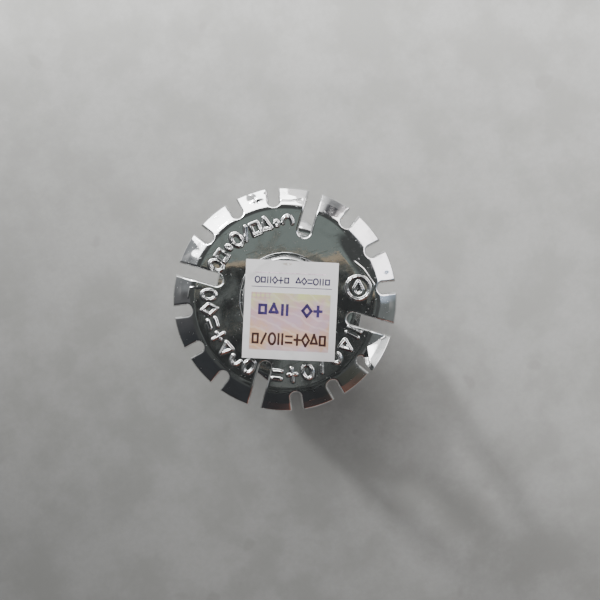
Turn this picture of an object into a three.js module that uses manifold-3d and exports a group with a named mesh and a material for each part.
// Pendent fire sprinkler head with a 5 mm glass bulb, standing on its threaded inlet with the
// deflector on top. Millimetres. +Z runs along the waterway from the inlet face to the deflector,
// +X lies in the plane of the two frame arms, and the origin is the centre of the inlet face.

import * as THREE from "three";
import { mergeVertices } from "three/addons/utils/BufferGeometryUtils.js";
import Module from "manifold-3d";

const wasm = await Module();
wasm.setup();

// ---------------------------------------------------------------- driving dimensions

const GAP = 0.03; // between pieces that touch on the real object

// taper pipe thread, nominal size 1/2, 14 threads per inch
const THREAD_LENGTH = 13.6;
const THREAD_PITCH = 25.4 / 14;
const THREAD_DEPTH = 1.16;
const THREAD_END_RADIUS = 10.3; // crest radius at the inlet face
const THREAD_TAPER = 1 / 32; // rise of the radius per unit of length
const NECK_RADIUS = 9.6;

// hexagonal wrench boss below the arms
const BOSS_BOTTOM = 14.8;
const BOSS_TOP = 20.8;
const BOSS_FLAT = 10.9; // half of the width across the flats
const BOSS_CORNER = 12.4; // the corners are turned down to this radius
const BOSS_CHAMFER = 0.7;
const BOSS_CHAMFER_WIDTH = 1.1;

// waterway
const INLET_CHAMFER_RADIUS = 8;
const INLET_RADIUS = 7.5;
const INLET_DEPTH = 4;
const ORIFICE_RADIUS = 5.6;
const CONE_TOP = 15;
const RIM_RADIUS = 7.9;
const RIM_TOP = 22.3;
const SEAT_RADIUS = 6.9; // recess that takes the disc spring
const SEAT_HEIGHT = 21.2;

// yoke: the two arms that join the boss to the nose
const YOKE_BOTTOM = 19.6;
const YOKE_TOP = 52.6;
const ARM_OUTSIDE = 10.4; // at the middle of the arm's height
const ARM_INSIDE = 7.7;
const ARM_HALF_DEPTH = 2.2;

// nose at the top of the yoke, and the staked head that holds the deflector
const NOSE_BOTTOM = 47.3;
const NOSE_RADIUS = 4.9;
const NOSE_SHOULDER_RADIUS = 5.6;
const SPIGOT_RADIUS = 4.35;
const HEAD_RADIUS = 5.8;
const HEAD_TOP = 56.95;

// deflector
const PLATE_TOP = 56.2;
const PLATE_THICKNESS = 1.3;
const PLATE_BOTTOM = PLATE_TOP - PLATE_THICKNESS;
const DEFLECTOR_RADIUS = 14;
const DEFLECTOR_HOLE_RADIUS = 4.45;
const BEND_START_RADIUS = 10.8;
const BEND_RADIUS = 1.9;
const TINE_ANGLE = THREE.MathUtils.degToRad(27); // how far the tines lean down
const SLOT_COUNT = 16;
const LONG_SLOT_EVERY = 4;
const FIRST_SLOT = 54; // degrees from +X to a long slot, as staked
const LONG_SLOT = { width: 1.5, innerEnd: 8 }; // innerEnd is measured from the axis
const SHORT_SLOT = { width: 1.35, innerEnd: 11.6 };

// compression screw, M6 x 1
const SCREW_RADIUS = 3;
const SCREW_BORE_RADIUS = 3.08;
const SCREW_TOP = 54.6;
const SCREW_DOG_RADIUS = 2.45;
const SCREW_CUP_MOUTH = 2.1;
const SOCKET_ACROSS_FLATS = 3;
const SOCKET_DEPTH = 2.6;

// glass bulb
const BULB_RADIUS = 2.5;
const BULB_WALL = 0.45;
const BULB_BOTTOM = 23.65;
const BULB_SHOULDER = 41.2; // top of its straight side
const NIB_RADIUS = 0.8;
const NIB_TOP = 45.6;
const NIB_HOLE_RADIUS = 1.1;
const CAPILLARY_RADIUS = 0.16;
const LIQUID_TOP = 39.9;

// closure
const SPRING_THICKNESS = 0.4;
const SPRING_RISE = 0.3; // height of its cone when loaded
const SPRING_OUTER_RADIUS = 6.7;
const SPRING_INNER_RADIUS = 4.1;
const FILM_THICKNESS = 0.1;
const CAP_PILOT_RADIUS = 3.9;
const CAP_FLANGE_RADIUS = 5.9;
const CAP_HUB_RADIUS = 3.5;
const CAP_BOTTOM = 20.5;
const CAP_FLANGE_THICKNESS = 1.15;
const CAP_TOP = 24.75;

// inspection label on the staked head
const LABEL_WIDTH = 11.4;
const LABEL_HEIGHT = 12.5;
const LABEL_THICKNESS = 0.12;
const LABEL_CENTRE = new THREE.Vector2(0.23, -1.41);
const LABEL_TURN = THREE.MathUtils.degToRad(-22.7);
const PATCH_WIDTH = 10.2;
const PATCH_HEIGHT = 7.9;
const PATCH_DROP = 1.3; // the patch sits this far below the label's middle
const PATCH_THICKNESS = 0.06;

const ROUND = 40; // segments of the large turned pieces
const SMALL_ROUND = 28; // segments of the small ones

// ---------------------------------------------------------------- materials

function finish(color, metalness, roughness, more = {}) {
  return new THREE.MeshStandardMaterial({ color, metalness, roughness, ...more });
}

const chrome = finish(0xc9cbcc, 1, 0.08);
const brass = finish(0xc9a25a, 1, 0.25);
const springAlloy = finish(0x9a9890, 1, 0.35);
const fluoropolymer = finish(0xe8e6dc, 0, 0.6);
const glass = finish(0xf4f6f6, 0, 0.03, { transparent: true, opacity: 0.35 });
const redLiquid = finish(0xb3120e, 0, 0.05);
const labelFilm = finish(0xeceeed, 0, 0.45);
const hologram = finish(0xdfd0c4, 0.2, 0.3);

// ---------------------------------------------------------------- from geometries to solids and back

function toSolid(geometry) {
  const bare = geometry.clone();
  bare.deleteAttribute("normal");
  bare.deleteAttribute("uv");
  const merged = mergeVertices(bare, 1e-4);
  const corners = merged.index.array;
  const kept = [];
  for (let i = 0; i < corners.length; i += 3) {
    const [a, b, c] = [corners[i], corners[i + 1], corners[i + 2]];
    if (a !== b && b !== c && c !== a) kept.push(a, b, c);
  }
  return new wasm.Manifold(
    new wasm.Mesh({
      numProp: 3,
      vertProperties: new Float32Array(merged.attributes.position.array),
      triVerts: new Uint32Array(kept),
    }),
  );
}

function toMesh(name, solid, material) {
  const { vertProperties, triVerts } = solid.getMesh();
  const geometry = new THREE.BufferGeometry();
  geometry.setAttribute("position", new THREE.BufferAttribute(vertProperties, 3));
  geometry.setIndex(new THREE.BufferAttribute(triVerts, 1));
  geometry.computeVertexNormals();
  const mesh = new THREE.Mesh(geometry, material);
  mesh.name = name;
  return mesh;
}

// A solid of revolution about Z. The profile is a list of [radius, height], anticlockwise when
// the radius runs to the right and the height runs up.
function turned(profile, segments) {
  const points = profile.map(([radius, height]) => new THREE.Vector2(radius, height));
  const onAxis = points[0].x === 0 && points[points.length - 1].x === 0;
  if (!onAxis) points.push(points[0].clone());
  return toSolid(new THREE.LatheGeometry(points, segments).rotateX(Math.PI / 2));
}

// A flat outline in the XY plane, raised from z = bottom to z = top.
function raised(shape, bottom, top) {
  const options = { depth: top - bottom, bevelEnabled: false, curveSegments: 6 };
  return toSolid(new THREE.ExtrudeGeometry(shape, options).translate(0, 0, bottom));
}

function arcPoints(centreX, centreY, radius, start, end, steps) {
  return Array.from({ length: steps + 1 }, (_, i) => {
    const angle = start + ((end - start) * i) / steps;
    return [centreX + radius * Math.cos(angle), centreY + radius * Math.sin(angle)];
  });
}

// A hexagon with two corners on the X axis.
function hexagon(halfAcrossFlats) {
  const corner = halfAcrossFlats / Math.cos(Math.PI / 6);
  const points = arcPoints(0, 0, corner, 0, (5 * Math.PI) / 3, 5);
  return new THREE.Shape(points.map(([x, y]) => new THREE.Vector2(x, y)));
}

function rectangle(width, height, middleY = 0) {
  const [right, bottom, top] = [width / 2, middleY - height / 2, middleY + height / 2];
  const corners = [[-right, bottom], [right, bottom], [right, top], [-right, top]];
  return new THREE.Shape(corners.map(([x, y]) => new THREE.Vector2(x, y)));
}

// ---------------------------------------------------------------- frame

// The thread is a stack of ring-shaped ridges on a taper, in place of its helix.
function threadedInlet() {
  const crest = (height) => THREAD_END_RADIUS + height * THREAD_TAPER;
  const lead = 0.4; // length of the plain end before the first ridge
  const profile = [[ORIFICE_RADIUS, 0], [THREAD_END_RADIUS - THREAD_DEPTH, 0]];
  const ridges = Math.floor((THREAD_LENGTH - lead) / THREAD_PITCH);
  for (let i = 0; i < ridges; i++) {
    const root = lead + i * THREAD_PITCH;
    const peak = root + THREAD_PITCH / 2;
    profile.push([crest(root) - THREAD_DEPTH, root], [crest(peak), peak]);
  }
  profile.push([NECK_RADIUS, THREAD_LENGTH], [NECK_RADIUS, BOSS_BOTTOM + 1]);
  profile.push([ORIFICE_RADIUS, BOSS_BOTTOM + 1]);
  return turned(profile, ROUND);
}

function wrenchBoss() {
  const chamferRadius = BOSS_CORNER - BOSS_CHAMFER_WIDTH;
  const turnedEnds = turned(
    [
      [0, BOSS_BOTTOM],
      [chamferRadius, BOSS_BOTTOM],
      [BOSS_CORNER, BOSS_BOTTOM + BOSS_CHAMFER],
      [BOSS_CORNER, BOSS_TOP - BOSS_CHAMFER],
      [chamferRadius, BOSS_TOP],
      [0, BOSS_TOP],
    ],
    ROUND,
  );
  return raised(hexagon(BOSS_FLAT), BOSS_BOTTOM, BOSS_TOP).intersect(turnedEnds);
}

// The yoke seen from the front: an arch around an open window, drawn up its right side and
// mirrored down its left.
function yokeFront() {
  const foot = [ARM_OUTSIDE + 0.2, YOKE_BOTTOM];
  const shoulder = [NOSE_SHOULDER_RADIUS - 0.2, 49.2];
  const top = [4.4, YOKE_TOP];
  const outline = new THREE.Shape();
  outline.moveTo(...foot);
  outline.bezierCurveTo(ARM_OUTSIDE + 0.1, 22.5, ARM_OUTSIDE, 26, ARM_OUTSIDE, 30);
  outline.bezierCurveTo(ARM_OUTSIDE - 0.1, 38, 8.4, 43.5, ...shoulder);
  outline.lineTo(...top);
  outline.lineTo(-top[0], top[1]);
  outline.lineTo(-shoulder[0], shoulder[1]);
  outline.bezierCurveTo(-8.4, 43.5, 0.1 - ARM_OUTSIDE, 38, -ARM_OUTSIDE, 30);
  outline.bezierCurveTo(-ARM_OUTSIDE, 26, -ARM_OUTSIDE - 0.1, 22.5, -foot[0], foot[1]);
  outline.closePath();
  const window = new THREE.Path();
  window.moveTo(-ARM_INSIDE - 0.4, BOSS_TOP);
  window.bezierCurveTo(-ARM_INSIDE, 23, -ARM_INSIDE, 26, -ARM_INSIDE, 30);
  window.bezierCurveTo(0.1 - ARM_INSIDE, 36, -6.1, 41, -3.7, NOSE_BOTTOM);
  window.lineTo(3.7, NOSE_BOTTOM);
  window.bezierCurveTo(6.1, 41, ARM_INSIDE - 0.1, 36, ARM_INSIDE, 30);
  window.bezierCurveTo(ARM_INSIDE, 26, ARM_INSIDE, 23, ARM_INSIDE + 0.4, BOSS_TOP);
  window.closePath();
  outline.holes.push(window);
  return outline;
}

// The yoke seen from the side: wide at the boss, waisted at mid height.
function yokeSide() {
  const [foot, waist, top] = [3.3, ARM_HALF_DEPTH, 3];
  const outline = new THREE.Shape();
  outline.moveTo(foot, YOKE_BOTTOM);
  outline.bezierCurveTo(2.8, 23, waist + 0.1, 28, waist, 34);
  outline.bezierCurveTo(waist, 40, waist + 0.3, 46, top, YOKE_TOP);
  outline.lineTo(-top, YOKE_TOP);
  outline.bezierCurveTo(-waist - 0.3, 46, -waist, 40, -waist, 34);
  outline.bezierCurveTo(-waist - 0.1, 28, -2.8, 23, -foot, YOKE_BOTTOM);
  outline.closePath();
  return outline;
}

function yoke() {
  const reach = 14; // half of the length of each extrusion
  const upright = new THREE.Matrix4().makeRotationX(Math.PI / 2);
  const sideways = new THREE.Matrix4().makeRotationZ(Math.PI / 2).multiply(upright);
  const extruded = (shape, turn) => {
    const options = { depth: 2 * reach, bevelEnabled: false, curveSegments: 6 };
    const geometry = new THREE.ExtrudeGeometry(shape, options).translate(0, 0, -reach);
    return toSolid(geometry.applyMatrix4(turn));
  };
  return extruded(yokeFront(), upright).intersect(extruded(yokeSide(), sideways));
}

// The nose, the spigot through the deflector and the head that is staked over it.
function nose() {
  const headEdge = 0.4;
  return turned(
    [
      [0, NOSE_BOTTOM],
      [NOSE_RADIUS - 1.1, NOSE_BOTTOM],
      [NOSE_RADIUS - 0.5, NOSE_BOTTOM + 1],
      [NOSE_RADIUS, PLATE_BOTTOM - 1.6],
      [NOSE_SHOULDER_RADIUS, PLATE_BOTTOM - 0.9],
      [NOSE_SHOULDER_RADIUS, PLATE_BOTTOM - GAP],
      [SPIGOT_RADIUS, PLATE_BOTTOM - GAP],
      [SPIGOT_RADIUS, PLATE_TOP + GAP],
      [HEAD_RADIUS, PLATE_TOP + GAP],
      [HEAD_RADIUS - headEdge / 4, HEAD_TOP - headEdge],
      [HEAD_RADIUS - headEdge, HEAD_TOP],
      [0, HEAD_TOP],
    ],
    ROUND,
  );
}

function waterway() {
  const beyond = 1; // how far the cutter reaches past the solid at each end
  const chamfer = INLET_CHAMFER_RADIUS - INLET_RADIUS;
  return turned(
    [
      [0, -beyond],
      [INLET_CHAMFER_RADIUS + beyond, -beyond],
      [INLET_RADIUS, chamfer],
      [INLET_RADIUS, INLET_DEPTH],
      [ORIFICE_RADIUS, CONE_TOP],
      [ORIFICE_RADIUS, SEAT_HEIGHT],
      [SEAT_RADIUS, SEAT_HEIGHT],
      [SEAT_RADIUS, RIM_TOP + beyond],
      [0, RIM_TOP + beyond],
    ],
    ROUND,
  );
}

function column(radius, bottom, top) {
  return turned([[0, bottom], [radius, bottom], [radius, top], [0, top]], SMALL_ROUND);
}

function frame() {
  const rim = turned(
    [[0, BOSS_TOP - 1], [RIM_RADIUS + 0.7, BOSS_TOP - 1], [RIM_RADIUS, RIM_TOP], [0, RIM_TOP]],
    ROUND,
  );
  const body = threadedInlet().add(wrenchBoss()).add(rim).add(yoke()).add(nose());
  const screwBore = column(SCREW_BORE_RADIUS, NOSE_BOTTOM - 1, HEAD_TOP + 1);
  return body.subtract(waterway()).subtract(screwBore);
}

// ---------------------------------------------------------------- deflector

// A plate whose rim is bent down by the tine angle along a rounded bend.
function dish() {
  const bendCentre = PLATE_TOP - BEND_RADIUS;
  const upright = Math.PI / 2;
  const leaning = upright - TINE_ANGLE;
  const bend = (radius, start, end) =>
    arcPoints(BEND_START_RADIUS, bendCentre, radius, start, end, 3);
  const top = bend(BEND_RADIUS, leaning, upright);
  const underside = bend(BEND_RADIUS - PLATE_THICKNESS, upright, leaning);
  const [bendEndRadius, bendEndHeight] = top[0];
  const length = (DEFLECTOR_RADIUS - bendEndRadius) / Math.cos(TINE_ANGLE);
  const tineEnd = ([radius, height]) => [
    radius + length * Math.cos(TINE_ANGLE),
    height - length * Math.sin(TINE_ANGLE),
  ];
  return turned(
    [
      [DEFLECTOR_HOLE_RADIUS, PLATE_BOTTOM],
      ...underside,
      tineEnd(underside[underside.length - 1]),
      tineEnd([bendEndRadius, bendEndHeight]),
      ...top,
      [DEFLECTOR_HOLE_RADIUS, PLATE_TOP],
    ],
    SLOT_COUNT * 4,
  );
}

function slotCutter({ width, innerEnd }) {
  const half = width / 2;
  const outside = DEFLECTOR_RADIUS + 2;
  const outline = new THREE.Shape();
  outline.moveTo(outside, -half);
  outline.lineTo(outside, half);
  outline.lineTo(innerEnd + half, half);
  outline.absarc(innerEnd + half, 0, half, Math.PI / 2, (3 * Math.PI) / 2, false);
  outline.closePath();
  return raised(outline, PLATE_TOP - 5, PLATE_TOP + 1);
}

function deflector() {
  let plate = dish();
  for (let i = 0; i < SLOT_COUNT; i++) {
    const slot = i % LONG_SLOT_EVERY === 0 ? LONG_SLOT : SHORT_SLOT;
    const direction = FIRST_SLOT + (360 * i) / SLOT_COUNT;
    plate = plate.subtract(slotCutter(slot).rotate([0, 0, direction]));
  }
  return plate;
}

// ---------------------------------------------------------------- screw and bulb

// The screw's lower end is a plain dog with a round cup that bears on the bulb's shoulder and a
// hole for the bulb's tip. Its upper end has a hexagon socket.
function compressionScrew() {
  const cupRadius = BULB_RADIUS + GAP;
  const mouth = Math.acos(SCREW_CUP_MOUTH / cupRadius);
  const holeEdge = Math.acos(NIB_HOLE_RADIUS / cupRadius);
  const cup = arcPoints(0, BULB_SHOULDER, cupRadius, holeEdge, mouth, 3);
  const tip = cup[cup.length - 1][1];
  const body = turned(
    [
      [0, NIB_TOP + 0.6],
      [NIB_HOLE_RADIUS, NIB_TOP + 0.3],
      ...cup,
      [SCREW_DOG_RADIUS, tip],
      [SCREW_DOG_RADIUS, NIB_TOP + 0.6],
      [SCREW_RADIUS, NIB_TOP + 1.1],
      [SCREW_RADIUS, SCREW_TOP - 0.4],
      [SCREW_RADIUS - 0.4, SCREW_TOP],
      [0, SCREW_TOP],
    ],
    SMALL_ROUND,
  );
  const socket = hexagon(SOCKET_ACROSS_FLATS / 2);
  return body.subtract(raised(socket, SCREW_TOP - SOCKET_DEPTH, SCREW_TOP + 1));
}

const BULB_CENTRE = BULB_BOTTOM + BULB_RADIUS; // centre of the round base

// The same rounded end for the envelope and for what is inside it, from the axis outwards.
function roundBase(radius, steps) {
  const points = arcPoints(0, BULB_CENTRE, radius, -Math.PI / 2, 0, steps);
  points[0][0] = 0;
  return points;
}

// The envelope is open along a hair-thin filling capillary through the drawn-out tip.
function bulbGlass() {
  const inner = BULB_RADIUS - BULB_WALL;
  const neck = Math.acos(NIB_RADIUS / BULB_RADIUS);
  const innerNeck = Math.acos(CAPILLARY_RADIUS / inner);
  return turned(
    [
      ...roundBase(BULB_RADIUS, 7),
      ...arcPoints(0, BULB_SHOULDER, BULB_RADIUS, 0, neck, 6),
      [NIB_RADIUS - 0.15, NIB_TOP - 0.5],
      [CAPILLARY_RADIUS + 0.14, NIB_TOP],
      [CAPILLARY_RADIUS, NIB_TOP],
      ...arcPoints(0, BULB_SHOULDER, inner, innerNeck, 0, 5),
      ...roundBase(inner, 6).reverse(),
    ],
    SMALL_ROUND,
  );
}

// The filling, with a hollow at the top where its bubble sits.
function bulbLiquid() {
  const radius = BULB_RADIUS - BULB_WALL - GAP;
  const top = [[radius, LIQUID_TOP + 0.7], [1.5, LIQUID_TOP + 0.2], [0, LIQUID_TOP]];
  return turned([...roundBase(radius, 6), ...top], SMALL_ROUND);
}

// ---------------------------------------------------------------- closure

const FILM_TOP = SEAT_HEIGHT + GAP + FILM_THICKNESS;
const SPRING_BOTTOM = FILM_TOP + GAP;
const SPRING_TOP = SPRING_BOTTOM + SPRING_RISE + SPRING_THICKNESS;
const UPPER_FILM_TOP = SPRING_TOP + GAP + FILM_THICKNESS;
const FLANGE_BOTTOM = UPPER_FILM_TOP + GAP;

function washer(innerRadius, outerRadius, bottom, thickness, rise = 0) {
  return turned(
    [
      [innerRadius, bottom + rise],
      [outerRadius, bottom],
      [outerRadius, bottom + thickness],
      [innerRadius, bottom + rise + thickness],
    ],
    ROUND,
  );
}

function discSpring() {
  const [inner, outer] = [SPRING_INNER_RADIUS, SPRING_OUTER_RADIUS];
  return washer(inner, outer, SPRING_BOTTOM, SPRING_THICKNESS, SPRING_RISE);
}

function lowerFilm() {
  const bottom = SEAT_HEIGHT + GAP;
  return washer(ORIFICE_RADIUS + 0.1, SPRING_OUTER_RADIUS, bottom, FILM_THICKNESS);
}

function upperFilm() {
  const width = 1;
  const bottom = SPRING_TOP + GAP;
  return washer(SPRING_INNER_RADIUS, SPRING_INNER_RADIUS + width, bottom, FILM_THICKNESS);
}

// The closure cap: a pilot through the disc spring, a flange on it, and a cup for the bulb.
function pipCap() {
  const edge = 0.4; // size of the chamfers
  const flangeTop = FLANGE_BOTTOM + CAP_FLANGE_THICKNESS;
  const cupRadius = BULB_RADIUS + GAP;
  const cupEnd = Math.asin((CAP_TOP - BULB_CENTRE) / cupRadius);
  const cup = arcPoints(0, BULB_CENTRE, cupRadius, cupEnd, -Math.PI / 2, 5);
  cup[cup.length - 1][0] = 0;
  return turned(
    [
      [0, CAP_BOTTOM],
      [CAP_PILOT_RADIUS - edge, CAP_BOTTOM],
      [CAP_PILOT_RADIUS, CAP_BOTTOM + edge],
      [CAP_PILOT_RADIUS, FLANGE_BOTTOM],
      [CAP_FLANGE_RADIUS, FLANGE_BOTTOM],
      [CAP_FLANGE_RADIUS, flangeTop - edge],
      [CAP_FLANGE_RADIUS - edge, flangeTop],
      [CAP_HUB_RADIUS, flangeTop],
      [CAP_HUB_RADIUS - edge, CAP_TOP],
      ...cup,
    ],
    SMALL_ROUND,
  );
}

// ---------------------------------------------------------------- label

function label() {
  const bottom = HEAD_TOP + GAP;
  const top = bottom + LABEL_THICKNESS;
  const film = raised(rectangle(LABEL_WIDTH, LABEL_HEIGHT), bottom, top);
  const patchShape = rectangle(PATCH_WIDTH, PATCH_HEIGHT, -PATCH_DROP);
  const patch = raised(patchShape, top + GAP, top + GAP + PATCH_THICKNESS);
  const group = new THREE.Group();
  group.add(toMesh("label_film", film, labelFilm));
  group.add(toMesh("label_hologram", patch, hologram));
  group.position.set(LABEL_CENTRE.x, LABEL_CENTRE.y, 0);
  group.rotation.z = LABEL_TURN;
  return group;
}

// ---------------------------------------------------------------- assembly

const sprinkler = new THREE.Group();
sprinkler.add(toMesh("frame", frame(), chrome));
sprinkler.add(toMesh("deflector", deflector(), chrome));
sprinkler.add(toMesh("compression_screw", compressionScrew(), brass));
sprinkler.add(toMesh("bulb_glass", bulbGlass(), glass));
sprinkler.add(toMesh("bulb_liquid", bulbLiquid(), redLiquid));
sprinkler.add(toMesh("pip_cap", pipCap(), brass));
sprinkler.add(toMesh("disc_spring", discSpring(), springAlloy));
sprinkler.add(toMesh("seal_film_lower", lowerFilm(), fluoropolymer));
sprinkler.add(toMesh("seal_film_upper", upperFilm(), fluoropolymer));
sprinkler.add(label());

export default sprinkler;
